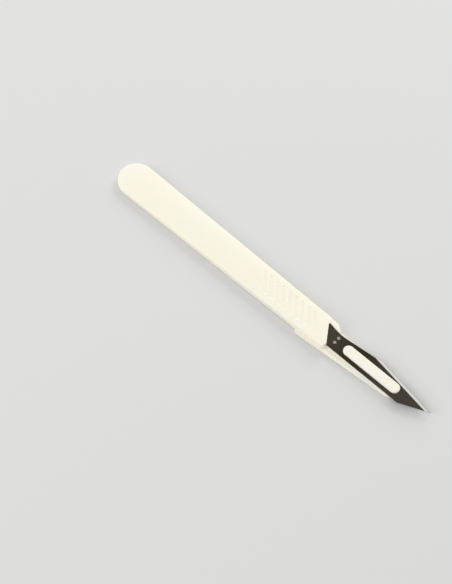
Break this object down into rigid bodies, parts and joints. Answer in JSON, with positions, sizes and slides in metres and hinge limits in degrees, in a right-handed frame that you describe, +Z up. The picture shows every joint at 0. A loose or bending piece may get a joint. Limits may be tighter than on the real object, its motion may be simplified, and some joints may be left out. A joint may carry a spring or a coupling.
{
  "type": "disposable scalpel",
  "caption": "Slim moulded handle with slanted grip flutes and a straight-edged, sharply pointed steel blade held on its front face.",
  "frame": {"origin": "under the middle of the whole length, on the plane the flat back rests on", "axes": "+X from the butt to the blade's point, +Y towards the cutting edge, +Z up from the flat back to the crowned front face"},
  "size_m": [0.1596, 0.0152, 0.0039],
  "materials": {
    "handle": "fine satin moulded ivory plastic",
    "blade": "dark polished carbon steel with a bright ground edge"
  },
  "bodies": {
    "root": {"handle": "handle", "blade": "blade"}
  },
  "joints": []
}
